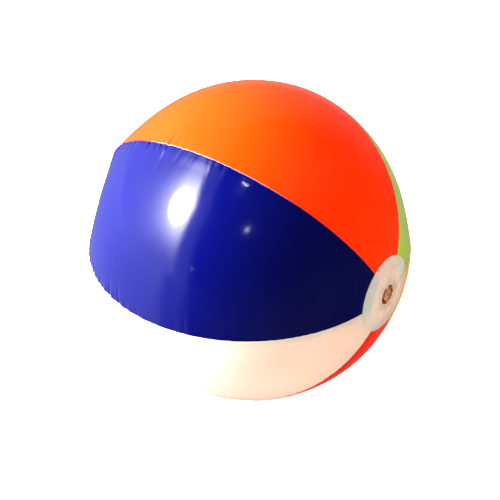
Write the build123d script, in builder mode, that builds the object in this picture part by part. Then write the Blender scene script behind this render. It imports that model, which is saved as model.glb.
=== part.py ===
from build123d import *
from math import asin, degrees, radians, sin, sqrt
import os

# Inflatable beach ball: six welded film gores, a disc over their tips at each pole, and a push-in
# inflation valve, drawn as it is in play, with the stopper shut and the valve pushed in.
#
# Frame: the origin is the ball's centre, +Z is up, and +X is the polar axis, out through the valve.
# Lengths are millimetres and angles degrees. A gore angle turns around +X, right-handed, from +Z,
# so 90 is towards -Y. A polar angle is measured at the ball's centre, from +X.

# ---- The skin ----
ball_radius = 130.0          # to the outside of the gores
film = 0.25                  # gore thickness
first_seam = -35.0           # gore angle where the orange gore starts
orange_width = 65.0          # each gore's share of the full turn; hand welding leaves them uneven
blue_width = 61.5
white_width = 57.5
red_width = 54.0
yellow_width = 66.0          # green takes what is left
lap_width = 4.0              # a gore's margin, welded under the next gore
lap_root = 1.5               # the strip of that margin under its own gore
disc_arc = 31.6              # along the surface, from the pole to a disc's rim
disc_weld = 11.1             # the ring where a disc lies on the gores' tips
disc_film = 0.30             # disc thickness

# ---- The valve: radii are from the polar axis ----
flange_width = 5.5
flange_thickness = 0.8
skirt_film = 0.5
skirt_straight = 3.0         # depth of the skirt before it narrows
tube_radius = 4.2
tube_length = 13.2
port_radius = 2.4            # bore for a pump's nozzle
seat_step = 0.4              # the bore's mouth is this much wider, for the stopper
seat_depth = 3.8
lip_width = 0.6              # rim around the tube's mouth
lip_thickness = 1.0
lip_round = 0.25
collar_width = 1.4           # ring that the skirt is moulded to
collar_thickness = 1.0
collar_drop = 7.2            # from the tube's mouth down to the collar
cap_radius = 4.6
cap_thickness = 1.2
cap_round = 0.35
cap_sink = 0.45              # the cap's top, below the ball's surface at the pole
dish_radius = 2.9            # hollow in the cap's top
dish_depth = 0.2
pin_slack = 0.05             # stopper pin to seat, at the pin's root
pin_gap = 0.4                # from the pin's tip to the seat's floor
swing_slack = 0.18           # left at the pin's tip as it swings out past the seat's wall
tab_width = 4.4              # finger tab on the cap's lower side
tab_overhang = 2.0           # how far the tab stands out from the cap
tab_thickness = 0.7
ear = 0.4                    # how far the strap's two roots stand out from the cap and the lip
strap_width = 3.0
strap_film = 0.6
strap_straight = 1.3         # from the strap's root to its bend
bend_radius = 0.65           # to the middle of the strap
strap_clearance = 0.4        # from the strap's corners to the skirt
flap_inset = 0.6             # the flap's rim, inside the tube's wall
flap_film = 0.3
flap_tongue_width = 3.0
flap_tongue_inset = 0.1      # the tongue's end, inside the tube's wall
parting = 0.05               # between two faces that part when the valve moves

# ---- Radii that follow from those ----
seat_radius = port_radius + seat_step
lip_radius = tube_radius + lip_width
collar_radius = tube_radius + collar_width
flap_radius = tube_radius - flap_inset
flap_tongue_reach = tube_radius - flap_tongue_inset
ear_reach = max(cap_radius, lip_radius) + ear
strap_reach = ear_reach + strap_straight
hinge_z = strap_reach + bend_radius  # the stopper turns about the middle of the strap's bend
strap_corner = sqrt((hinge_z + strap_film / 2) ** 2 + (strap_width / 2) ** 2)
dimple_radius = strap_corner + strap_clearance + skirt_film  # hole in the valve disc
flange_radius = dimple_radius + flange_width
tab_reach = cap_radius + tab_overhang
pin_length = seat_depth - pin_gap
swing_reach = sqrt((hinge_z + seat_radius) ** 2 - (pin_length + parting) ** 2)
pin_tip_radius = swing_reach - hinge_z - swing_slack

# ---- Places along the polar axis ----
pole = ball_radius + disc_film
cap_top = pole - cap_sink
cap_base = cap_top - cap_thickness
mouth = cap_base - parting
collar_top = mouth - collar_drop
tube_end = mouth - tube_length
flap_top = tube_end - parting
bend_x = cap_base

# ---- Places on the surface ----
tip_angle = degrees((disc_arc - disc_weld) / ball_radius)
disc_angle = degrees(disc_arc / ball_radius)
tip_radius = ball_radius * sin(radians(tip_angle))  # from the polar axis to the gores' tips
lap_sweep = degrees(asin(1.2 * lap_width / tip_radius))  # half of the sector that the margin is cut from

green_width = 360.0 - orange_width - blue_width - white_width - red_width - yellow_width
gores = {
    "gore_orange": orange_width,
    "gore_blue": blue_width,
    "gore_white": white_width,
    "gore_red": red_width,
    "gore_yellow": yellow_width,
    "gore_green": green_width,
}

os.makedirs("parts", exist_ok=True)

# ---- Gores: each is a slice of a thin sphere, and its lap margin lies one film lower ----
seam_angle = first_seam
for name, width in gores.items():
    start_plane = Plane.XZ.rotated((seam_angle, 0, 0))
    seam_angle = seam_angle + width
    end_plane = Plane.XZ.rotated((seam_angle, 0, 0))
    lap_plane = Plane.XZ.rotated((seam_angle - lap_sweep, 0, 0))
    sweep = 180.0 - 2 * tip_angle
    with BuildPart() as gore:
        # The margin: a sector of the lower film, trimmed to an even width along the seam.
        with BuildSketch(lap_plane):
            with BuildLine():
                over = CenterArc((0, 0), ball_radius - film, tip_angle, sweep)
                under = CenterArc((0, 0), ball_radius - 2 * film, tip_angle, sweep)
                Line(over @ 0, under @ 0)
                Line(over @ 1, under @ 1)
            make_face()
        revolve(axis=Axis.X, revolution_arc=2 * lap_sweep)
        split(bisect_by=end_plane.offset(lap_width), keep=Keep.BOTTOM)
        split(bisect_by=end_plane.offset(-lap_root), keep=Keep.TOP)
        # The gore itself.
        with BuildSketch(start_plane):
            with BuildLine():
                over = CenterArc((0, 0), ball_radius, tip_angle, sweep)
                under = CenterArc((0, 0), ball_radius - film, tip_angle, sweep)
                Line(over @ 0, under @ 0)
                Line(over @ 1, under @ 1)
            make_face()
        revolve(axis=Axis.X, revolution_arc=width)
    gore.part.label = name
    export_step(gore.part, "parts/" + name + ".step")

# ---- Discs over the gores' tips ----
hole_over = degrees(asin(dimple_radius / (ball_radius + disc_film)))
hole_under = degrees(asin(dimple_radius / ball_radius))
with BuildPart() as valve_disc:
    with BuildSketch(Plane.XZ):
        with BuildLine():
            over = CenterArc((0, 0), ball_radius + disc_film, hole_over, disc_angle - hole_over)
            under = CenterArc((0, 0), ball_radius, hole_under, disc_angle - hole_under)
            Line(over @ 0, under @ 0)
            Line(over @ 1, under @ 1)
        make_face()
    revolve(axis=Axis.X)
valve_disc.part.label = "valve_disc"
export_step(valve_disc.part, "parts/valve_disc.step")

with BuildPart() as rear_disc:
    with BuildSketch(Plane.XZ):
        with BuildLine():
            over = CenterArc((0, 0), ball_radius + disc_film, 180.0 - disc_angle, disc_angle)
            under = CenterArc((0, 0), ball_radius, 180.0 - disc_angle, disc_angle)
            Line(over @ 0, under @ 0)
            Line(over @ 1, under @ 1)
        make_face()
    revolve(axis=Axis.X)
rear_disc.part.label = "rear_disc"
export_step(rear_disc.part, "parts/rear_disc.step")

# ---- Valve flange: the ring welded to the inside of the valve disc ----
flange_over = ball_radius
flange_under = ball_radius - flange_thickness
flange_hole_over = degrees(asin(dimple_radius / flange_over))
flange_hole_under = degrees(asin(dimple_radius / flange_under))
flange_rim_over = degrees(asin(flange_radius / flange_over))
flange_rim_under = degrees(asin(flange_radius / flange_under))
with BuildPart() as valve_flange:
    with BuildSketch(Plane.XZ):
        with BuildLine():
            over = CenterArc((0, 0), flange_over, flange_hole_over, flange_rim_over - flange_hole_over)
            under = CenterArc((0, 0), flange_under, flange_hole_under, flange_rim_under - flange_hole_under)
            Line(over @ 0, under @ 0)
            Line(over @ 1, under @ 1)
        make_face()
    revolve(axis=Axis.X)
valve_flange.part.label = "valve_flange"
export_step(valve_flange.part, "parts/valve_flange.step")

# ---- Valve skirt: the thin wall that turns inside out when the valve is pulled up ----
skirt_top = sqrt(flange_over**2 - dimple_radius**2)
skirt_waist = skirt_top - skirt_straight
skirt_foot = collar_top + parting
with BuildPart() as valve_skirt:
    with BuildSketch(Plane.XZ):
        with BuildLine():
            Polyline(
                (skirt_top, dimple_radius - skirt_film),
                (skirt_top, dimple_radius),
                (skirt_waist, dimple_radius),
                (skirt_foot, collar_radius),
                (skirt_foot, collar_radius - skirt_film),
                (skirt_waist, dimple_radius - skirt_film),
                close=True,
            )
        make_face()
    revolve(axis=Axis.X)
valve_skirt.part.label = "valve_skirt"
export_step(valve_skirt.part, "parts/valve_skirt.step")

# ---- Valve tube: mouth rim, collar and the bore that takes the stopper and the pump ----
strap_low = bend_x - bend_radius
with BuildPart() as valve_tube:
    with BuildSketch(Plane.YZ.offset(tube_end)):
        Circle(tube_radius)
    extrude(amount=tube_length)
    with BuildSketch(Plane.YZ.offset(mouth - lip_thickness)):
        Circle(lip_radius)
    extrude(amount=lip_thickness)
    with BuildSketch(Plane.YZ.offset(collar_top - collar_thickness)):
        Circle(collar_radius)
    extrude(amount=collar_thickness)
    lip_rims = edges().filter_by(GeomType.CIRCLE).filter_by(lambda rim: abs(rim.radius - lip_radius) < 1e-6)
    fillet(lip_rims, lip_round)
    with BuildSketch(Plane.XY.offset(tube_radius)):
        with Locations((strap_low, 0)):
            Rectangle(strap_film, strap_width)
    extrude(amount=ear_reach - tube_radius)
    with Locations(Plane.YZ.offset(mouth)):
        CounterBoreHole(port_radius, seat_radius, seat_depth)
valve_tube.part.label = "valve_tube"
export_step(valve_tube.part, "parts/valve_tube.step")

# ---- Stopper: a dished cap with a tapered pin, a finger tab and an ear for the strap ----
strap_high = bend_x + bend_radius
with BuildPart() as stopper:
    with BuildSketch(Plane.YZ.offset(cap_base)):
        Circle(cap_radius)
    extrude(amount=cap_thickness)
    fillet(faces().sort_by(Axis.X)[-1].edges(), cap_round)
    with BuildSketch(Plane.YZ.offset(cap_top)):
        Circle(dish_radius)
    extrude(amount=-dish_depth, mode=Mode.SUBTRACT)
    with BuildSketch(Plane.XZ):
        with BuildLine():
            Polyline(
                (cap_base, 0),
                (cap_base, seat_radius - pin_slack),
                (mouth, seat_radius - pin_slack),
                (mouth - pin_length, pin_tip_radius),
                (mouth - pin_length, 0),
                close=True,
            )
        make_face()
    revolve(axis=Axis.X)
    with BuildSketch(Plane.XY.offset(dish_radius)):
        with Locations((strap_high, 0)):
            Rectangle(strap_film, strap_width)
    extrude(amount=ear_reach - dish_radius)
    tab_centre = tab_reach - tab_width / 2
    with BuildSketch(Plane.YZ.offset(cap_base)):
        with Locations((0, -tab_centre)):
            Circle(tab_width / 2)
        with Locations((0, -tab_centre / 2)):
            Rectangle(tab_width, tab_centre)
    extrude(amount=tab_thickness)
stopper.part.label = "stopper"
export_step(stopper.part, "parts/stopper.step")

# ---- Stopper strap: folded back on itself above the tube's rim ----
with BuildPart() as stopper_strap:
    with BuildSketch(Plane.XZ):
        with BuildLine() as strap_line:
            Line((strap_low, ear_reach), (strap_low, strap_reach))
            CenterArc((bend_x, strap_reach), bend_radius, 180.0, -180.0)
            Line((strap_high, strap_reach), (strap_high, ear_reach + parting))
        trace(strap_line.line, line_width=strap_film)
    extrude(amount=strap_width / 2, both=True)
stopper_strap.part.label = "stopper_strap"
export_step(stopper_strap.part, "parts/stopper_strap.step")

# ---- Check flap: it swings inwards under the pump and falls shut when the pump stops ----
with BuildPart() as check_flap:
    with BuildSketch(Plane.YZ.offset(flap_top)):
        Circle(flap_radius)
        with Locations((0, flap_tongue_reach / 2)):
            Rectangle(flap_tongue_width, flap_tongue_reach)
    extrude(amount=-flap_film)
check_flap.part.label = "check_flap"
export_step(check_flap.part, "parts/check_flap.step")
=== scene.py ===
# %% [markdown]
# # An inflated beach ball
# Six coloured film gores are welded edge to edge into a ball. A milky disc covers their tips at each end,
# and the disc at +X carries a soft push-in air valve. This notebook dresses the ball's solid model: every
# piece is built around it, in metres, in the model's own frame. The origin is the ball's centre, +Z is up
# and +X is the polar axis, out through the valve.

# %% Tools and the solid model
import math

import bpy
import numpy as np
from mathutils import Matrix, Vector


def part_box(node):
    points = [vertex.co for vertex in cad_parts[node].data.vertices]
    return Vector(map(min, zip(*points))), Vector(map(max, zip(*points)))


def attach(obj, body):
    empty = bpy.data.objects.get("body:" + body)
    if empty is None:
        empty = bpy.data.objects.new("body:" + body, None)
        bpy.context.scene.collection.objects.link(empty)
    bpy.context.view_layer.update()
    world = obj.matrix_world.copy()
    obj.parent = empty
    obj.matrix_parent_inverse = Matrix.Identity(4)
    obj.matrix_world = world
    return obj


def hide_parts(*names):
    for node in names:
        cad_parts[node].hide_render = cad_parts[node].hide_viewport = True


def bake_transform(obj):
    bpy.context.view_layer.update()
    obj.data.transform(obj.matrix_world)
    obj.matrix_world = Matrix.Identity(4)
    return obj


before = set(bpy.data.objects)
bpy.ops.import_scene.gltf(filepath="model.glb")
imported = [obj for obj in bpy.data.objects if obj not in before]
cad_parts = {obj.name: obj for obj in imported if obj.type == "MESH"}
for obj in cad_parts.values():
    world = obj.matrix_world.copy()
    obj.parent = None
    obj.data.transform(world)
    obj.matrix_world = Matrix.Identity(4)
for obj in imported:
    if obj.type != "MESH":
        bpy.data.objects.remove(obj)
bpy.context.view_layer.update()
print("nodes:", sorted(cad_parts))

# %% [markdown]
# ## Sizes read from the solid model
# The skin's radius, the discs and every valve level come from the solid model's boxes, so the film and the
# valve stay in step with it. Only sizes that the solid model has no use for, such as a pucker's depth, are
# chosen here.

# %% Sizes
MM = 0.001
GORES = ["orange", "blue", "white", "red", "yellow", "green"]

skin_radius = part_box("gore_orange")[1][2]
disc_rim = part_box("valve_disc")[1][1]
rear_pole = -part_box("rear_disc")[0][0]
disc_film = rear_pole - skin_radius
disc_outer = skin_radius + disc_film
dimple_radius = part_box("valve_skirt")[1][1]
flange_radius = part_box("valve_flange")[1][1]
collar_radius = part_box("valve_tube")[1][1]
skirt_low, skirt_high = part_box("valve_skirt")[0][0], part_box("valve_skirt")[1][0]
film = 0.25 * MM
weld_margin = 4.0 * MM
tip_angle = math.asin(math.sqrt(skin_radius**2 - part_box("gore_orange")[1][0] ** 2) / skin_radius)
disc_angle = math.asin(disc_rim / disc_outer)
for what, radius in (("skin", skin_radius), ("disc rim", disc_rim), ("dimple", dimple_radius)):
    print(f"{what} radius {radius / MM:.2f} mm")
print(f"gore tips at {math.degrees(tip_angle):.1f} deg, disc rim at {math.degrees(disc_angle):.1f} deg")


def gore_turn(name):
    """The gore angles, in radians around +X from +Z, between which a gore's outer wall runs."""
    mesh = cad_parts["gore_" + name].data
    points = np.empty(len(mesh.vertices) * 3)
    mesh.vertices.foreach_get("co", points)
    points = points.reshape(-1, 3)
    outer = points[np.linalg.norm(points, axis=1) > skin_radius - film / 2]
    angle = np.arctan2(-outer[:, 1], outer[:, 2])
    middle = math.atan2(np.sin(angle).mean(), np.cos(angle).mean())
    spread = (angle - middle + math.pi) % (2 * math.pi) - math.pi
    return middle + spread.min(), middle + spread.max()


turns = {name: gore_turn(name) for name in GORES}
for name, (start, end) in turns.items():
    print(f"{name} gore: {math.degrees(start):.1f} to {math.degrees(end):.1f} deg")

# %% [markdown]
# ## Camera
# A long lens about 1.2 m away, a third of a turn round towards the valve and well above the ball, so that
# the seams run across the view as long arcs. The small shift only centres the ball.

# %% Camera
camera_azimuth = math.radians(35.37)
camera_elevation = math.radians(34.23)
camera_distance = 9.15 * skin_radius
to_camera = Vector((
    math.sin(camera_azimuth) * math.cos(camera_elevation),
    -math.cos(camera_azimuth) * math.cos(camera_elevation),
    math.sin(camera_elevation),
))
to_right = Vector((math.cos(camera_azimuth), math.sin(camera_azimuth), 0.0))
to_top = to_camera.cross(to_right)

lens = bpy.data.cameras.new("camera")
lens.lens = 105.2
lens.sensor_width = 36.0
lens.shift_x = -0.0009
lens.shift_y = -0.0203
lens.clip_start = 0.01
camera = bpy.data.objects.new("camera", lens)
camera.location = to_camera * camera_distance
camera.rotation_euler = to_camera.to_track_quat("Z", "Y").to_euler()
bpy.context.collection.objects.link(camera)
bpy.context.scene.camera = camera
print("camera at", [round(x, 3) for x in camera.location])

# %% [markdown]
# ## A way to write sums as nodes
# A gore's shape is one formula, and Geometry Nodes can hold it, so that all six gores share one tree and
# differ only in their inputs. Written as a row of Math nodes, a formula is hard to read. A small class lets
# Python's own +, *, and so on lay the nodes down, so the formula below reads as a formula.

# %% Field: node sums in plain arithmetic
class Field:
    """A value that varies over the film. Sums with it add Math nodes to its tree."""

    def __init__(self, tree, socket):
        self.tree = tree
        self.socket = socket

    def math(self, operation, *others):
        node = self.tree.nodes.new("ShaderNodeMath")
        node.operation = operation
        for slot, value in zip(node.inputs, (self, *others)):
            if isinstance(value, Field):
                self.tree.links.new(value.socket, slot)
            else:
                slot.default_value = value
        return Field(self.tree, node.outputs[0])

    def constant(self, value):
        node = self.tree.nodes.new("ShaderNodeValue")
        node.outputs[0].default_value = value
        return Field(self.tree, node.outputs[0])

    def __add__(self, other):
        return self.math("ADD", other)

    def __sub__(self, other):
        return self.math("SUBTRACT", other)

    def __mul__(self, other):
        return self.math("MULTIPLY", other)

    def __truediv__(self, other):
        return self.math("DIVIDE", other)

    def __pow__(self, other):
        return self.math("POWER", other)

    def __rsub__(self, other):
        return self.constant(other) - self

    __radd__ = __add__
    __rmul__ = __mul__

    def sin(self):
        return self.math("SINE")

    def cos(self):
        return self.math("COSINE")

    def exp(self):
        return self.math("EXPONENT")

    def size(self):
        return self.math("ABSOLUTE")

    def least(self, other):
        return self.math("MINIMUM", other)

    def most(self, other):
        return self.math("MAXIMUM", other)

    def ramp(self, low, high):
        """0 up to low, 1 from high, and a smooth rise between them."""
        node = self.tree.nodes.new("ShaderNodeMapRange")
        node.interpolation_type = "SMOOTHSTEP"
        node.clamp = True
        self.tree.links.new(self.socket, node.inputs["Value"])
        for name, value in (("From Min", low), ("From Max", high)):
            if isinstance(value, Field):
                self.tree.links.new(value.socket, node.inputs[name])
            else:
                node.inputs[name].default_value = value
        return Field(self.tree, node.outputs["Result"])

    def noise(self, detail=1.0):
        """Smooth noise along one line, from -1 to 1."""
        node = self.tree.nodes.new("ShaderNodeTexNoise")
        node.noise_dimensions = "1D"
        node.inputs["Scale"].default_value = 1.0
        node.inputs["Detail"].default_value = detail
        self.tree.links.new(self.socket, node.inputs["W"])
        return (Field(self.tree, node.outputs["Fac"]) - 0.5) * 2.0

    def scatter(self):
        """The gap to the nearest of scattered marks about 1 apart, and that mark's own three numbers."""
        node = self.tree.nodes.new("ShaderNodeTexVoronoi")
        node.voronoi_dimensions = "1D"
        node.feature = "F1"
        node.inputs["Scale"].default_value = 1.0
        node.inputs["Randomness"].default_value = 0.85
        self.tree.links.new(self.socket, node.inputs["W"])
        split = self.tree.nodes.new("ShaderNodeSeparateXYZ")
        self.tree.links.new(node.outputs["Color"], split.inputs[0])
        return (Field(self.tree, node.outputs["Distance"]), *(Field(self.tree, out) for out in split.outputs))


# %% [markdown]
# ## The gores
# Each gore is cut flat and welded to its neighbours. Air rounds it out, but flat film can't become part of a
# sphere: along the middle it stays a little flat, at the welds it stands a little proud, and the spare length
# of each weld is taken up by short pinches square to it. A cloth simulation would find those pinches, but
# only on a mesh too fine to settle here in reasonable time, so they are laid out by rule instead: scattered
# marks along each weld, each with a depth, a reach and a lean of its own.
# The mesh is a grid from tip to tip, with its columns crowded towards the welds. Its last columns are the
# weld margin, which steps down by a film's thickness and runs on under the next gore. Solidify then gives
# the film its thickness.

# %% The gore tree
GORE_INPUTS = {
    "Radius": skin_radius,
    "Start": 0.0,
    "Turn": math.radians(60.0),
    "Next turn": math.radians(60.0),
    "Tip": tip_angle,
    "Film": film,
    "Margin": weld_margin,
    "Ridge": 0.013,         # how proud the welds stand towards the rear, as a share of the radius
    "Hollow": 0.020,        # how much lower a gore's middle is beside the discs, as a share of the radius
    "Pinch spacing": 7.0 * MM,
    "Pinch depth": 1.15 * MM,
    "Pinch reach": 7.5 * MM,
    "Start weld": 0.0,      # which weld it is, so that both gores at a weld get the same marks
    "End weld": 1.0,
    "Start side": 1.0,      # how strongly this gore puckers along each of its welds
    "End side": 1.0,
    "Margin side": 1.0,     # the next gore's, so that the margin under it puckers as it does
}
ROWS = 520
COLUMNS = 82
MARGIN_SHARE = 0.06         # of the columns
CROWDING = 0.72             # how far the columns crowd towards the welds: 0 is even, 1 the most
ROUND_EQUATOR = 0.9         # how much of the hollow is gone at the equator
PINCH_SEED = 41.3           # each weld reads its scattered marks this much further on
LEAN_EVERY = 30.0 * MM      # how slowly the lean of the pinches changes along a weld
DEEP_EVERY = 55.0 * MM      # and their depth
LOBE_REACH = 6.0 * MM       # how far the soft swelling between two pinches goes from the weld


def pinches(along, gap, weld, side, size):
    """How far the film is drawn in beside one weld, in metres."""
    lean = (along / LEAN_EVERY + weld * 7.3).noise() * 0.35
    mark = (along + lean * gap) / size["Pinch spacing"] + weld * PINCH_SEED
    distance, first, second, third = mark.scatter()
    spread = gap / size["Pinch spacing"] * 0.06 + 0.14 + second * 0.06
    groove = (0.0 - (distance / spread) ** 2.0).exp()
    depth = (first * first + 0.12) * ((along / DEEP_EVERY + weld * 3.1).noise() * 0.9 + 0.75).most(0.1)
    reach = size["Pinch reach"] * (third * third * 1.5 + 0.35) * side
    fade = (0.0 - (gap / reach) ** 1.6).exp()
    lobe = (0.7 - distance * 2.0) * (0.0 - gap / LOBE_REACH).exp() * 0.35
    return (groove * depth * fade + lobe) * size["Pinch depth"]


def gore_tree():
    tree = bpy.data.node_groups.new("gore", "GeometryNodeTree")
    tree.interface.new_socket("Geometry", in_out="INPUT", socket_type="NodeSocketGeometry")
    for name, value in GORE_INPUTS.items():
        tree.interface.new_socket(name, in_out="INPUT", socket_type="NodeSocketFloat").default_value = value
    tree.interface.new_socket("Finish", in_out="INPUT", socket_type="NodeSocketMaterial")
    tree.interface.new_socket("Geometry", in_out="OUTPUT", socket_type="NodeSocketGeometry")
    new, link = tree.nodes.new, tree.links.new
    given = new("NodeGroupInput")
    size = {name: Field(tree, given.outputs[name]) for name in GORE_INPUTS}

    grid = new("GeometryNodeMeshGrid")
    grid.inputs["Vertices X"].default_value = COLUMNS
    grid.inputs["Vertices Y"].default_value = ROWS
    place = new("GeometryNodeInputPosition")
    split = new("ShaderNodeSeparateXYZ")
    link(place.outputs[0], split.inputs[0])
    across = (Field(tree, split.outputs["X"]) + 0.5) * (1.0 + MARGIN_SHARE)
    down = Field(tree, split.outputs["Y"]) + 0.5

    # Where a column lies across the gore: crowded towards both welds, then out over the margin.
    on_gore = across.least(1.0)
    share = on_gore - (on_gore * (2 * math.pi)).sin() * (CROWDING / (2 * math.pi))
    beyond = (across - 1.0).most(0.0) / MARGIN_SHARE * size["Margin"]
    polar = size["Tip"] + (math.pi - size["Tip"] * 2.0) * (1.0 - down)
    ring = polar.sin() * size["Radius"]
    along = polar * size["Radius"]
    angle = size["Start"] + size["Turn"] * share + beyond / ring
    start_gap = ring * size["Turn"] * share
    end_gap = ring * size["Turn"] * (1.0 - share)
    end_reach = end_gap + beyond

    # Proud at the welds, low in the middle, round at the equator and a true sphere under the discs.
    settle = polar.sin().ramp(0.25, 0.50)
    rear = (0.0 - polar.cos()).ramp(-0.2, 0.7)
    hollow = size["Hollow"] * (1.0 - polar.sin() ** 6.0 * ROUND_EQUATOR)
    ridge = size["Ridge"] * (rear * 0.7 + 0.3)
    across_next = 1.0 - beyond / (ring * size["Next turn"]) * 2.0
    bow = (share * 2.0 - 1.0).size().least(across_next) ** 2.2
    profile = (bow * (ridge + hollow) - hollow) * settle

    # Pinches at both welds, most in the rear half, where the film is slackest, and gone near the discs.
    clear_of_disc = polar.sin().ramp(0.30, 0.62) * ((0.0 - polar.cos()).ramp(-0.10, 0.35) * 0.75 + 0.25)
    drawn = pinches(along, start_gap, size["Start weld"], size["Start side"], size)
    under_next = beyond.ramp(0.0, 0.05 * MM)
    side = size["End side"] * (1.0 - under_next) + size["Margin side"] * under_next
    drawn = drawn + pinches(along, end_reach, size["End weld"], side, size)
    lap = 1.0 - start_gap.ramp(size["Margin"], size["Margin"] * 3.5)
    step = beyond.ramp(0.0, 0.4 * MM) * size["Film"] * 1.5
    radius = size["Radius"] * (1.0 + profile) - drawn * clear_of_disc
    radius = radius + (lap * size["Film"] - size["Film"]) * settle - step

    join = new("ShaderNodeCombineXYZ")
    link((radius * polar.cos()).socket, join.inputs["X"])
    link((radius * polar.sin() * angle.sin() * -1.0).socket, join.inputs["Y"])
    link((radius * polar.sin() * angle.cos()).socket, join.inputs["Z"])

    # The finish needs two of these fields. They read the flat grid, so they are stored before it is bent.
    flat = grid.outputs["Mesh"]
    for name, field in (("start_gap", start_gap), ("along", along)):
        keep = new("GeometryNodeStoreNamedAttribute")
        keep.data_type = "FLOAT"
        keep.domain = "POINT"
        keep.inputs["Name"].default_value = name
        link(flat, keep.inputs["Geometry"])
        link(field.socket, keep.inputs["Value"])
        flat = keep.outputs["Geometry"]
    shape = new("GeometryNodeSetPosition")
    link(flat, shape.inputs["Geometry"])
    link(join.outputs[0], shape.inputs["Position"])
    smooth = new("GeometryNodeSetShadeSmooth")
    link(shape.outputs[0], smooth.inputs["Geometry"])
    real = new("GeometryNodeRealizeInstances")
    link(smooth.outputs[0], real.inputs[0])
    paint = new("GeometryNodeSetMaterial")
    link(real.outputs[0], paint.inputs["Geometry"])
    link(given.outputs["Finish"], paint.inputs["Material"])
    out = new("NodeGroupOutput")
    link(paint.outputs[0], out.inputs[0])
    return tree


def socket_names(tree):
    """Input name to the identifier that a modifier's input is set by."""
    return {s.name: s.identifier for s in tree.interface.items_tree if s.in_out == "INPUT"}


def settled(name, source):
    """A plain mesh object from what source's modifiers make, with source removed."""
    graph = bpy.context.evaluated_depsgraph_get()
    mesh = bpy.data.meshes.new_from_object(source.evaluated_get(graph))
    bpy.data.objects.remove(source)
    piece = bpy.data.objects.new(name, mesh)
    bpy.context.collection.objects.link(piece)
    return piece


# %% [markdown]
# ## Film finish
# The gores are soft PVC film with dye in it: glossy, deep in colour, and a little clear, so a gore glows
# with light that came in through the others. A Principled shader gives the gloss and a Translucent shader
# the glow. The dye is never quite even, fingers leave the gloss a little duller in patches, and the film is
# doubled over each weld margin, where the welding bar also leaves a shallow pressed line along each edge.
# Over the middle of each weld a pale line is painted along the upper film's edge: a painted highlight, where
# the seam catches the lamp.

# %% Finish helpers
def start_finish(name):
    """A new material with no nodes yet, and its node and link calls."""
    finish = bpy.data.materials.new(name)
    finish.use_nodes = True
    finish.node_tree.nodes.clear()
    tree = finish.node_tree
    return finish, tree, tree.nodes.new, tree.links.new


def cloud(tree, scale, detail, low, high, place=None):
    """Noise over Object coordinates, spread from low to high. scale is clouds per metre."""
    if place is None:
        place = tree.nodes.new("ShaderNodeTexCoord").outputs["Object"]
    noise = tree.nodes.new("ShaderNodeTexNoise")
    noise.inputs["Scale"].default_value = scale
    noise.inputs["Detail"].default_value = detail
    tree.links.new(place, noise.inputs["Vector"])
    spread = tree.nodes.new("ShaderNodeMapRange")
    spread.inputs["From Min"].default_value = 0.3
    spread.inputs["From Max"].default_value = 0.7
    spread.inputs["To Min"].default_value = low
    spread.inputs["To Max"].default_value = high
    tree.links.new(noise.outputs["Fac"], spread.inputs["Value"])
    return spread.outputs["Result"]


def tint(tree, share, plain, dyed):
    """A colour between plain and dyed, by the share socket."""
    mix = tree.nodes.new("ShaderNodeMix")
    mix.data_type = "RGBA"
    mix.inputs["A"].default_value = (*plain, 1.0)
    mix.inputs["B"].default_value = (*dyed, 1.0)
    tree.links.new(share, mix.inputs["Factor"])
    return mix.outputs["Result"]


def blend_shaders(tree, share, first, second):
    mix = tree.nodes.new("ShaderNodeMixShader")
    mix.inputs["Fac"].default_value = share
    tree.links.new(first, mix.inputs[1])
    tree.links.new(second, mix.inputs[2])
    return mix.outputs[0]


# %% Gore film
FILM_COLOURS = {            # dye seen from in front, dye seen through, share of light let through
    "orange": ((0.98, 0.060, 0.0015), (1.00, 0.072, 0.002), 0.48),
    "blue": ((0.0008, 0.0016, 0.071), (0.003, 0.006, 0.15), 0.20),
    "white": ((0.87, 0.83, 0.76), (0.95, 0.86, 0.74), 0.42),
    "red": ((0.88, 0.036, 0.007), (1.00, 0.07, 0.02), 0.42),
    "yellow": ((0.96, 0.56, 0.02), (1.00, 0.68, 0.05), 0.42),
    "green": ((0.43, 0.68, 0.07), (0.54, 0.82, 0.10), 0.42),
}
film_gloss = 0.09
line_width = 0.5 * MM       # of the lines that the welding bar presses
highlight_from = (115.0 * MM, 150.0 * MM)  # where the painted highlight along the weld's edge begins and is full, along the weld
highlight_to = (235.0 * MM, 265.0 * MM)    # and where it fades and ends


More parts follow.
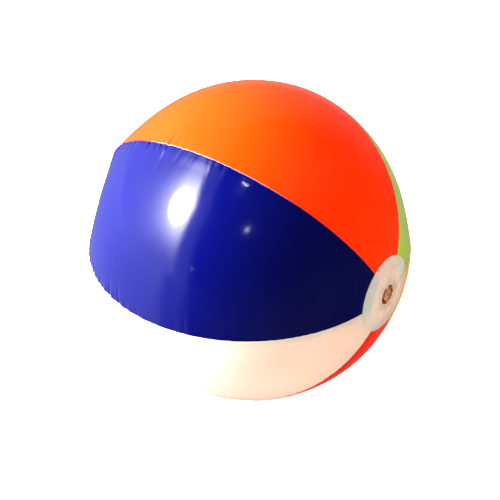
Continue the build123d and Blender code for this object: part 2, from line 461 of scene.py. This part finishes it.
def gore_finish(name):
    front, through, share = FILM_COLOURS[name]
    finish, tree, new, link = start_finish(name + "_film")
    near = new("ShaderNodeAttribute")
    near.attribute_name = "start_gap"
    gap = Field(tree, near.outputs["Fac"])
    doubled = 1.0 - gap.ramp(weld_margin - 0.2 * MM, weld_margin + 0.2 * MM)
    pressed = (0.0 - ((gap - weld_margin * 0.9) / line_width) ** 2.0).exp()
    pressed = pressed + (0.0 - ((gap - weld_margin * 0.22) / line_width) ** 2.0).exp()

    uneven = cloud(tree, 14.0, 3.0, 0.0, 1.0)
    deep = tuple(c * 0.86 for c in front)
    dye = tint(tree, uneven, deep, front)
    darker = new("ShaderNodeMix")
    darker.data_type = "RGBA"
    darker.blend_type = "MULTIPLY"
    darker.inputs["B"].default_value = (0.80, 0.80, 0.80, 1.0)
    link((doubled * 0.3).socket, darker.inputs["Factor"])
    link(dye, darker.inputs["A"])
    # Painted highlight: a pale line along the upper film's edge at each weld, over the stretch where the seam
    # catches the lamp.
    edge_highlight_paint = new("ShaderNodeMix")
    edge_highlight_paint.data_type = "RGBA"
    edge_highlight_paint.inputs["B"].default_value = (0.95, 0.50, 0.42, 1.0)
    runs = new("ShaderNodeAttribute")
    runs.attribute_name = "along"
    along = Field(tree, runs.outputs["Fac"])
    highlight_stretch = along.ramp(*highlight_from) * (1.0 - along.ramp(*highlight_to))
    link(((1.0 - gap.ramp(0.20 * MM, 0.50 * MM)) * highlight_stretch * 0.7).socket, edge_highlight_paint.inputs["Factor"])
    link(darker.outputs["Result"], edge_highlight_paint.inputs["A"])

    bump = new("ShaderNodeBump")
    bump.inputs["Distance"].default_value = 0.10 * MM
    bump.inputs["Strength"].default_value = 0.6
    grain = Field(tree, cloud(tree, 420.0, 2.0, 0.0, 0.12))
    link((grain - pressed * 0.35).socket, bump.inputs["Height"])

    gloss = new("ShaderNodeBsdfPrincipled")
    link(edge_highlight_paint.outputs["Result"], gloss.inputs["Base Color"])
    link(cloud(tree, 26.0, 4.0, film_gloss - 0.03, film_gloss + 0.06), gloss.inputs["Roughness"])
    gloss.inputs["IOR"].default_value = 1.52
    link(bump.outputs[0], gloss.inputs["Normal"])
    glow = new("ShaderNodeBsdfTranslucent")
    glow.inputs["Color"].default_value = (*through, 1.0)
    link(bump.outputs[0], glow.inputs["Normal"])
    out = new("ShaderNodeOutputMaterial")
    link(blend_shaders(tree, share, gloss.outputs[0], glow.outputs[0]), out.inputs["Surface"])
    return finish


gore_films = {name: gore_finish(name) for name in GORES}
print("film finishes:", sorted(gore_films))

# %% Six gores from one tree
AIR = {                     # how hollow each gore is, and how strongly it puckers at its start and end welds
    "orange": (0.014, 1.0, 0.55),
    "blue": (0.022, 1.25, 1.6),
    "white": (0.006, 0.9, 1.0),
    "red": (-0.008, 1.0, 0.9),
    "yellow": (-0.010, 0.9, 1.0),
    "green": (0.016, 1.0, 0.8),
}
one_gore_tree = gore_tree()
names = socket_names(one_gore_tree)
gores = {}
for number, gore_name in enumerate(GORES):
    next_number = (number + 1) % len(GORES)
    start, end = turns[gore_name]
    next_start, next_end = turns[GORES[next_number]]
    hollow, start_side, end_side = AIR[gore_name]
    blank = bpy.data.objects.new("blank", bpy.data.meshes.new("blank"))
    bpy.context.collection.objects.link(blank)
    shaper = blank.modifiers.new("gore", "NODES")
    shaper.node_group = one_gore_tree
    shaper[names["Start"]] = start
    shaper[names["Turn"]] = end - start
    shaper[names["Next turn"]] = next_end - next_start
    shaper[names["Start weld"]] = float(number)
    shaper[names["End weld"]] = float(next_number)
    shaper[names["Hollow"]] = hollow
    shaper[names["Start side"]] = start_side
    shaper[names["End side"]] = end_side
    shaper[names["Margin side"]] = AIR[GORES[next_number]][1]
    shaper[names["Finish"]] = gore_films[gore_name]
    wall = blank.modifiers.new("wall", "SOLIDIFY")
    wall.thickness = film
    wall.offset = -1.0
    gore = settled(gore_name + "_gore_film", blank)
    gores[gore_name] = gore
    radii = [v.co.length / MM for v in gore.data.vertices]
    print(gore.name, len(gore.data.polygons), f"faces, radius {min(radii):.2f} to {max(radii):.2f} mm")

for gore_name, gore in gores.items():
    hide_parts("gore_" + gore_name)
    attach(gore, "ball")

# %% [markdown]
# ## Turned pieces
# The discs and the valve's skirt are round about the polar axis, apart from their wrinkles. A Screw modifier
# could turn a profile, but not wrinkle it, so a short function turns it and asks a lift for each point's rise
# along the axis. Solidify then gives the film its wall.

# %% Turning a profile
def turned(name, profile, lift, steps=192):
    """A mesh turned about +X from (x, radius) points. lift(x, radius, angle) moves each point along +X."""
    points, faces, rings = [], [], []
    for x, radius in profile:
        if radius == 0.0:
            rings.append([len(points)])
            points.append((x, 0.0, 0.0))
            continue
        rings.append(range(len(points), len(points) + steps))
        for k in range(steps):
            angle = 2 * math.pi * k / steps
            points.append((x + lift(x, radius, angle), -radius * math.sin(angle), radius * math.cos(angle)))
    for low, high in zip(rings, rings[1:]):
        for k in range(steps):
            after = (k + 1) % steps
            if len(low) == 1:
                faces.append((low[0], high[after], high[k]))
            else:
                faces.append((low[k], low[after], high[after], high[k]))
    mesh = bpy.data.meshes.new(name)
    mesh.from_pydata(points, [], faces)
    mesh.shade_smooth()
    piece = bpy.data.objects.new(name, mesh)
    bpy.context.collection.objects.link(piece)
    return piece


def smooth_profile(points, steps=8):
    """A Catmull-Rom curve through (x, radius) points."""
    points = np.array(points)
    ends = np.vstack([2 * points[0] - points[1], points, 2 * points[-1] - points[-2]])
    rows = []
    for a, b, c, d in zip(ends, ends[1:], ends[2:], ends[3:]):
        for k in range(steps):
            t = k / steps
            bend, twist = 2 * a - 5 * b + 4 * c - d, 3 * b - a - 3 * c + d
            rows.append(0.5 * (2 * b + (c - a) * t + bend * t**2 + twist * t**3))
    rows.append(points[-1])
    return [tuple(row) for row in rows]


def rise(value, low, high):
    """0 up to low, 1 from high, and a smooth rise between them."""
    t = min(max((value - low) / (high - low), 0.0), 1.0)
    return t * t * (3 - 2 * t)


def give_wall(piece, thickness):
    """Adds a wall inwards and returns the finished piece."""
    wall = piece.modifiers.new("wall", "SOLIDIFY")
    wall.thickness = thickness
    wall.offset = -1.0
    name = piece.name
    piece.name = name + "_blank"
    return settled(name, piece)


# %% [markdown]
# ## End discs
# A disc of milky film covers the gores' tips at each end. It is welded down in a ring near its rim, lies free
# inside that, and at the valve it is drawn down into the dimple, which gathers it into fine radial wrinkles.
# Round the dimple and out along some wrinkles a brown painted shade stands in for the shade in them. The film
# is clear enough for the coloured tips and the edge of the tip hole to show through. One finish serves both
# discs, with the painted shade on the valve's side alone.

# %% Disc finish
shade_ring = 1.3 * MM       # how far the painted shade goes out all round the dimple
shade_streak = 17.0 * MM    # and how much further at most, where the film gathers


def disc_finish():
    finish, tree, new, link = start_finish("milky_film")
    place = new("ShaderNodeTexCoord").outputs["Object"]
    split = new("ShaderNodeSeparateXYZ")
    link(place, split.inputs[0])
    x, y, z = (Field(tree, out) for out in split.outputs)
    # Painted shade: a brown patch round the dimple and streaks out along its wrinkles, on the valve's side
    # only, standing in for the shade in the dimple and its folds.
    radius = (y * y + z * z) ** 0.5
    streak = y.math("ARCTAN2", z)
    gathers = ((streak * 5.0 + 11.0).noise(3.0) * 1.6 + (streak * 14.0 + 40.0).noise(2.0)) * 0.5
    reach = dimple_radius + shade_ring + (gathers + 0.06).most(0.0) * shade_streak
    painted_dimple_shade = (1.0 - radius.ramp(reach - 1.4 * MM, reach + 0.9 * MM)) * x.ramp(0.0, 1.0 * MM)
    painted_dimple_shade = painted_dimple_shade * Field(tree, cloud(tree, 900.0, 2.0, 0.35, 1.0, place))

    gloss = new("ShaderNodeBsdfPrincipled")
    milk = tint(tree, cloud(tree, 60.0, 3.0, 0.0, 1.0), (0.72, 0.77, 0.75), (0.77, 0.82, 0.80))
    link(milk, gloss.inputs["Base Color"])
    link(cloud(tree, 90.0, 3.0, 0.20, 0.32), gloss.inputs["Roughness"])
    gloss.inputs["IOR"].default_value = 1.50
    bump = new("ShaderNodeBump")
    bump.inputs["Distance"].default_value = 0.08 * MM
    bump.inputs["Strength"].default_value = 0.5
    link(cloud(tree, 500.0, 2.0, 0.0, 0.3), bump.inputs["Height"])
    link(bump.outputs[0], gloss.inputs["Normal"])
    glow = new("ShaderNodeBsdfTranslucent")
    glow.inputs["Color"].default_value = (0.92, 0.86, 0.78, 1.0)
    clear = new("ShaderNodeBsdfTransparent")
    clear.inputs["Color"].default_value = (0.97, 0.95, 0.92, 1.0)
    milky = blend_shaders(tree, 0.40, gloss.outputs[0], glow.outputs[0])
    film_look = blend_shaders(tree, 0.24, milky, clear.outputs[0])
    dimple_shade_brown = new("ShaderNodeBsdfPrincipled")
    dimple_shade_brown.inputs["Base Color"].default_value = (0.50, 0.27, 0.14, 1.0)
    dimple_shade_brown.inputs["Roughness"].default_value = 0.28
    link(bump.outputs[0], dimple_shade_brown.inputs["Normal"])
    gathered = new("ShaderNodeMixShader")
    link((painted_dimple_shade * 0.85).socket, gathered.inputs["Fac"])
    link(film_look, gathered.inputs[1])
    link(dimple_shade_brown.outputs[0], gathered.inputs[2])
    out = new("ShaderNodeOutputMaterial")
    link(gathered.outputs[0], out.inputs["Surface"])
    return finish


milky_film = disc_finish()

# %% Both discs
weld_inner = math.sin(tip_angle) * skin_radius
press_depth = 0.10 * MM
fold_depth = 0.75 * MM
dimple_drop = 1.1 * MM
FOLDS = ((5, 0.4, 0.5), (9, 2.1, 0.4), (17, 1.2, 0.35), (26, 4.0, 0.25))  # how many, turn in radians, share


def disc_profile(hole):
    """From the hole or the pole to the rim, along the disc's outer face."""
    rows = []
    steps = 72
    for k in range(steps + 1):
        radius = hole + (disc_rim - hole) * k / steps
        rows.append((math.sqrt(disc_outer**2 - radius**2), radius))
    return rows


def pressed_rings(radius):
    """Two shallow rings from the welding bar: just outside the gores' tips, and just inside the rim."""
    inner = -press_depth * math.exp(-(((radius - weld_inner - 1.0 * MM) / (0.7 * MM)) ** 2))
    outer = -press_depth * math.exp(-(((radius - disc_rim + 1.6 * MM) / (0.6 * MM)) ** 2))
    return inner + outer


def valve_side_lift(x, radius, angle):
    """Drawn down at the dimple, raised over the flange, pressed at its welds and gathered into wrinkles."""
    drop = -dimple_drop * (1.0 - rise(radius, dimple_radius, dimple_radius + 3.4 * MM)) ** 1.6
    flange = 0.10 * MM * (1.0 - rise(radius, flange_radius, flange_radius + 0.8 * MM))
    wave = sum(share * math.cos(count * angle + phase) for count, phase, share in FOLDS)
    reach = rise(radius, dimple_radius - 1.0 * MM, dimple_radius + 1.0 * MM)
    reach *= 1.0 - rise(radius, 10.5 * MM, 18.0 * MM)
    return drop + flange + (0.35 - abs(wave)) * fold_depth * reach + pressed_rings(radius)


def rear_side_lift(x, radius, angle):
    """Pressed at its welds, with three slack swellings between."""
    slack = 0.12 * MM * math.cos(3 * angle + 1.0) * rise(radius, 0.0, 8.0 * MM)
    return pressed_rings(radius) + slack * (1.0 - rise(radius, 12.0 * MM, 20.0 * MM))


valve_film = give_wall(turned("valve_disc_film", disc_profile(dimple_radius), valve_side_lift), disc_film)
rear_film = turned("rear_disc_film", disc_profile(0.0), rear_side_lift)
for v in rear_film.data.vertices:
    v.co = Vector((-v.co.x, -v.co.y, v.co.z))  # half a turn about the upright axis, to the rear
rear_film = give_wall(rear_film, disc_film)
for piece, node in ((valve_film, "valve_disc"), (rear_film, "rear_disc")):
    piece.data.materials.append(milky_film)
    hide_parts(node)
    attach(piece, "ball")
    print(piece.name, len(piece.data.polygons), "faces")

# %% [markdown]
# ## Valve
# The valve is soft clear vinyl in one moulding: a flange welded under the disc, a thin skirt, and a tube with
# a collar. Pushed in, the skirt folds down into the dimple; pulled out for pumping, it turns inside out. Here
# it is built pushed in, its shape running from the dimple at its top to the tube at its foot. The stopper
# hangs on a strap, built here in one shape, bent round in a U.

# %% Valve finish
def vinyl_finish(name, pale, deep, clear=0.35, crumple=0.0):
    finish, tree, new, link = start_finish(name)
    gloss = new("ShaderNodeBsdfPrincipled")
    link(tint(tree, cloud(tree, 420.0, 3.0, 0.0, 1.0), deep, pale), gloss.inputs["Base Color"])
    link(cloud(tree, 700.0, 2.0, 0.20, 0.34), gloss.inputs["Roughness"])
    gloss.inputs["IOR"].default_value = 1.50
    bump = new("ShaderNodeBump")
    bump.inputs["Distance"].default_value = (0.04 + crumple) * MM
    bump.inputs["Strength"].default_value = 0.7
    link(cloud(tree, 650.0, 2.0, 0.0, 1.0), bump.inputs["Height"])
    link(bump.outputs[0], gloss.inputs["Normal"])
    glow = new("ShaderNodeBsdfTranslucent")
    glow.inputs["Color"].default_value = (*pale, 1.0)
    out = new("ShaderNodeOutputMaterial")
    link(blend_shaders(tree, clear, gloss.outputs[0], glow.outputs[0]), out.inputs["Surface"])
    return finish


# Painted shade and painted reflection: the vinyl is clear, and the brown of the valve and the cap, with dark
# blotches laid at random, stands in for the shade in the crumpled valve and the ball's colours seen through
# it.
vinyl = vinyl_finish("valve_vinyl", (0.80, 0.44, 0.20), (0.28, 0.10, 0.03), crumple=0.3)
cap_vinyl = vinyl_finish("cap_vinyl", (0.86, 0.48, 0.34), (0.38, 0.14, 0.05), crumple=0.5)
# Painted light: the strap's yellow stands in for light coming through the orange film onto the clear vinyl.
strap_vinyl = vinyl_finish("strap_vinyl", (0.98, 0.60, 0.14), (0.85, 0.42, 0.08))
flange_vinyl = vinyl_finish("flange_vinyl", (0.84, 0.80, 0.72), (0.78, 0.73, 0.64))
SOLID_FINISHES = {
    "valve_flange": flange_vinyl,
    "valve_tube": vinyl,
    "stopper": cap_vinyl,
    "check_flap": vinyl,
}
for node, finish in SOLID_FINISHES.items():
    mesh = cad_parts[node].data
    mesh.materials.clear()
    mesh.materials.append(finish)
print("solid pieces shown as they are:", sorted(SOLID_FINISHES))

# %% Skirt
skirt_wall = 0.5 * MM
skirt_fold = 0.34 * MM
skirt_line = smooth_profile([
    (skirt_low + 0.05 * MM, collar_radius - 0.05 * MM),
    (skirt_low + 1.2 * MM, collar_radius + 0.75 * MM),
    (skirt_low + 3.2 * MM, collar_radius + 1.75 * MM),
    (skirt_high - 2.6 * MM, dimple_radius - 0.25 * MM),
    (skirt_high - 1.0 * MM, dimple_radius - 0.06 * MM),
    (skirt_high - 0.2 * MM, dimple_radius),
])


def skirt_folds(x, radius, angle):
    """Folds that are deepest halfway down and gone where the skirt meets the disc and the tube."""
    share = (x - skirt_low) / (skirt_high - skirt_low)
    middle = math.sin(math.pi * min(max(share, 0.0), 1.0))
    wave = math.cos(7 * angle) + 0.6 * math.cos(12 * angle + 1.3) + 0.3 * math.cos(23 * angle)
    return skirt_fold * middle * wave


skirt = give_wall(turned("valve_skirt_fold", skirt_line, skirt_folds, steps=128), skirt_wall)
skirt.data.materials.append(vinyl)
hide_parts("valve_skirt")
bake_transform(skirt)
print(skirt.name, len(skirt.data.polygons), "faces")

# %% Stopper strap
half_width, half_film, corner = 1.5 * MM, 0.3 * MM, 0.14 * MM
waist = 0.16                # how much narrower the strap is halfway along each leg
(strap_inner, _, strap_root), (strap_outer, _, strap_tip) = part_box("stopper_strap")
strap_low = strap_inner + half_film
strap_high = strap_outer - half_film
bend_radius = (strap_high - strap_low) / 2
bend_z = strap_tip - half_film - bend_radius
bend_x = (strap_high + strap_low) / 2
leg = bend_z - strap_root
print(f"strap from {strap_root / MM:.2f} to {strap_tip / MM:.2f} mm, bend radius {bend_radius / MM:.2f} mm")


def strap_path():
    """(x, z, way along) points of a U: out along the tube's rim, round the bend and back to the cap."""
    rows = [(strap_low, strap_root + leg * k / 5, (0, 1)) for k in range(5)]
    for k in range(25):
        turn = math.pi * k / 24
        across, along = math.cos(turn), math.sin(turn)
        rows.append((bend_x - bend_radius * across, bend_z + bend_radius * along, (along, across)))
    return rows + [(strap_high, bend_z - leg * k / 5, (0, -1)) for k in range(1, 6)]


def strap_section():
    """(wide, thick) points round the strap, with its four corners rounded."""
    rows = []
    flat_wide, flat_thick = half_width - corner, half_film - corner
    for wide, thick, first in ((1, 1, 0), (-1, 1, 90), (-1, -1, 180), (1, -1, 270)):
        for k in range(4):
            turn = math.radians(first + 30 * k)
            across, out = corner * math.cos(turn), corner * math.sin(turn)
            rows.append((wide * flat_wide + across, thick * flat_thick + out))
    return rows


def strap_mesh():
    path, section = strap_path(), strap_section()
    points, faces = [], []
    for x, z, (tx, tz) in path:
        narrow = 1.0 - waist * math.sin(math.pi * min(max((z - strap_root) / leg, 0.0), 1.0))
        for wide, thick in section:
            points.append((x - tz * thick, wide * narrow, z + tx * thick))
    count = len(section)
    for row in range(len(path) - 1):
        for k in range(count):
            a, b = row * count + k, row * count + (k + 1) % count
            faces.append((a, b, b + count, a + count))
    faces.append(tuple(range(count))[::-1])
    faces.append(tuple(range(len(points) - count, len(points))))
    mesh = bpy.data.meshes.new("stopper_strap_bend")
    mesh.from_pydata(points, [], faces)
    mesh.shade_smooth()
    return mesh


strap = bpy.data.objects.new("stopper_strap_bend", strap_mesh())
bpy.context.collection.objects.link(strap)
strap.data.materials.append(strap_vinyl)
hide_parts("stopper_strap")
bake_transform(strap)
print(strap.name, len(strap.data.polygons), "faces")

# %% [markdown]
# ## Floor and light
# Glossy film shows whatever stands round it, so the room matters as much as the lamps. Here a pale wall with
# a bright lamp on it stands to the left, the ground is white, and the rest of the room is dim: the left of
# the ball reflects the wall, and the right keeps its deep colour. A modelled wall would stand between the
# lamps and the ball, so the room is only a pattern in the sky and on the floor, which a Light Path node shows
# to reflections, while the camera sees plain white.

# %% Studio helpers
DEG = math.radians(1.0)


def ray_mix(tree, first, seen_by):
    """first, except for the kinds of ray that seen_by names, which meet another surface."""
    ray = tree.nodes.new("ShaderNodeLightPath")
    for kind, surface in seen_by:
        mix = tree.nodes.new("ShaderNodeMixShader")
        tree.links.new(ray.outputs[kind], mix.inputs["Fac"])
        tree.links.new(first, mix.inputs[1])
        tree.links.new(surface, mix.inputs[2])
        first = mix.outputs[0]
    return first


def along_axis(tree, place, axis):
    """How far the place socket lies along axis."""
    dot = tree.nodes.new("ShaderNodeVectorMath")
    dot.operation = "DOT_PRODUCT"
    dot.inputs[1].default_value = axis
    tree.links.new(place, dot.inputs[0])
    return Field(tree, dot.outputs["Value"])


def lean_in(left, up):
    """left, with the wall's edge leaning: below the lamp it stands further round. Both are in degrees."""
    return left + (up - lamp_up).least(0.0) * edge_lean


def lit_surface(new, colour, albedo, strength=0.92):
    """A matt surface that also glows, as if a wide light were on it."""
    paint = new("ShaderNodeBsdfPrincipled")
    paint.inputs["Base Color"].default_value = (*albedo, 1.0)
    paint.inputs["Roughness"].default_value = 0.85
    paint.inputs["Specular IOR Level"].default_value = 0.10
    paint.inputs["Emission Color"].default_value = (*colour, 1.0)
    paint.inputs["Emission Strength"].default_value = strength
    return paint.outputs[0]


# The room, in degrees to the left of the camera and above its level, as seen from the ball.
lamp_left, lamp_up = 54.0, 20.0
lamp_fade, lamp_height = 9.8, 12.5
lamp_strength = 46.0
edge_lean = 0.4
wall_near, wall_far = (24.0, 30.0), (37.5, 42.5)  # where the wall begins, and where it gets bright
print(f"the reflected lamp stands {lamp_left:.0f} deg left and {lamp_up:.0f} deg up")

# %% Floor
def floor_finish():
    """White to the camera, warm white to light that bounces, and the room's pattern to reflections."""
    finish, tree, new, link = start_finish("studio_floor")
    paint = lit_surface(new, (1.0, 1.0, 1.0), (0.60, 0.60, 0.60))
    bounce = lit_surface(new, (1.0, 0.96, 0.88), (0.22, 0.21, 0.19))
    place = new("ShaderNodeTexCoord").outputs["Object"]
    left, toward = along_axis(tree, place, -to_right), along_axis(tree, place, to_camera)
    up = along_axis(tree, place, to_top)
    away = (left * left + toward * toward + up * up) ** 0.5
    left = left.math("ARCTAN2", toward) / DEG
    slanted = lean_in(left, (up / away).math("ARCSINE") / DEG)
    shade = slanted.ramp(22.0, 30.0) * 0.35 + slanted.ramp(42.0, 52.0) * 0.65
    shade = shade * (1.0 - left.ramp(95.0, 165.0) * 0.72)
    mirrored = new("ShaderNodeEmission")
    behind = (0.0 - left).ramp(100.0, 150.0) * 0.5 + 0.05
    link((away / (away + 0.45) * shade * 2.0 + behind).socket, mirrored.inputs["Strength"])
    out = new("ShaderNodeOutputMaterial")
    seen_by = (("Is Diffuse Ray", bounce), ("Is Glossy Ray", mirrored.outputs[0]))
    link(ray_mix(tree, paint, seen_by), out.inputs["Surface"])
    return finish


half_floor = 12.0
corners = [(x * half_floor, y * half_floor, -skin_radius) for x, y in ((-1, -1), (1, -1), (1, 1), (-1, 1))]
floor_mesh = bpy.data.meshes.new("studio_floor")
floor_mesh.from_pydata(corners, [], [(0, 1, 2, 3)])
floor = bpy.data.objects.new("studio_floor", floor_mesh)
floor.data.materials.append(floor_finish())
bpy.context.collection.objects.link(floor)
print("floor", 2 * half_floor, "m wide, at", round(-skin_radius, 4))

# %% [markdown]
# ## Lamps
# One oval soft box gives the highlight on the blue gore, and it is kept out of matt shading, so that its
# place can be set by the highlight alone. Three broad fills do the shading and are kept out of reflections.
# Four tiny lamps further round catch the gloss as sparks, as small bulbs in a room do.

# %% Lights
def soft_box(name, direction, distance, wide, tall, power, colour=(1.0, 1.0, 1.0)):
    """An oval light that faces the ball. direction is in camera terms: right, up, towards the camera."""
    away = (to_right * direction[0] + to_top * direction[1] + to_camera * direction[2]).normalized()
    light = bpy.data.lights.new(name, "AREA")
    light.shape = "ELLIPSE"
    light.size = wide
    light.size_y = tall
    light.energy = power
    light.color = colour
    lamp = bpy.data.objects.new(name, light)
    lamp.location = away * distance
    side = to_top.cross(away).normalized()
    lamp.rotation_euler = Matrix((side, away.cross(side), away)).transposed().to_euler()
    bpy.context.collection.objects.link(lamp)
    return lamp


def turned_left(degrees_left, degrees_up):
    """A direction that many degrees to the left of the camera and above its level, seen from the ball."""
    left, up = math.radians(degrees_left), math.radians(degrees_up)
    return (-math.sin(left) * math.cos(up), math.sin(up), math.cos(left) * math.cos(up))


soft_box("key_box", turned_left(50, 19), 1.2, 0.32, 0.44, 22.0).visible_diffuse = False
fills = (
    ("side_fill", turned_left(76, 20), 395.0, (1.0, 1.0, 1.0)),
    ("back_fill", turned_left(125, 40), 70.0, (1.0, 1.0, 1.0)),
    ("warm_fill", turned_left(-50, 40), 26.0, (0.95, 0.80, 0.60)),
)
for name, direction, power, colour in fills:
    soft_box(name, direction, 1.6, 1.2, 1.2, power, colour).visible_glossy = False

spark_size = 0.020
SPARKS = ((7, 30, 0.20), (1, 3, 0.13), (-44, 9, 0.05), (38, -18, 0.02))  # degrees left, degrees up, power
for number, (degrees_left, degrees_up, power) in enumerate(SPARKS):
    direction = turned_left(degrees_left, degrees_up)
    soft_box(f"catch_light_{number}", direction, 1.2, spark_size, spark_size, power)

# %% Sky
world = bpy.data.worlds.new("studio")
world.use_nodes = True
bpy.context.scene.world = world
tree = world.node_tree
tree.nodes.clear()
new, link = tree.nodes.new, tree.links.new
look = new("ShaderNodeTexCoord").outputs["Generated"]
left = along_axis(tree, look, -to_right).math("ARCTAN2", along_axis(tree, look, to_camera)) / DEG
up = along_axis(tree, look, to_top).math("ARCSINE") / DEG
slanted = lean_in(left, up)
beside_lamp = ((left - lamp_left).most(0.0) / -lamp_fade).exp()
lamp_glow = beside_lamp * (((up - lamp_up) / lamp_height) ** 2.0 * -0.5).exp() * lamp_strength
wall = slanted.ramp(*wall_near) * 0.9 + slanted.ramp(*wall_far) * (lamp_glow + 1.0)
wall = wall * (1.0 - left.ramp(95.0, 160.0)) * (1.0 - up.ramp(42.0, 68.0) * 0.75)
mirrored, plain = new("ShaderNodeBackground"), new("ShaderNodeBackground")
link((left.size().ramp(95.0, 150.0) * 0.38 + 0.04 + wall).socket, mirrored.inputs["Strength"])
plain.inputs["Color"].default_value = (1.0, 0.94, 0.86, 1.0)
plain.inputs["Strength"].default_value = 0.25
backdrop = new("ShaderNodeBackground")
backdrop.inputs["Color"].default_value = (1.0, 1.0, 1.0, 1.0)
out = new("ShaderNodeOutputWorld")
link(ray_mix(tree, plain.outputs[0], (
    ("Is Glossy Ray", mirrored.outputs[0]),
    ("Is Camera Ray", backdrop.outputs[0]),
)), out.inputs["Surface"])

scene = bpy.context.scene
scene.view_settings.view_transform = "Standard"
print("view transform:", scene.view_settings.view_transform)
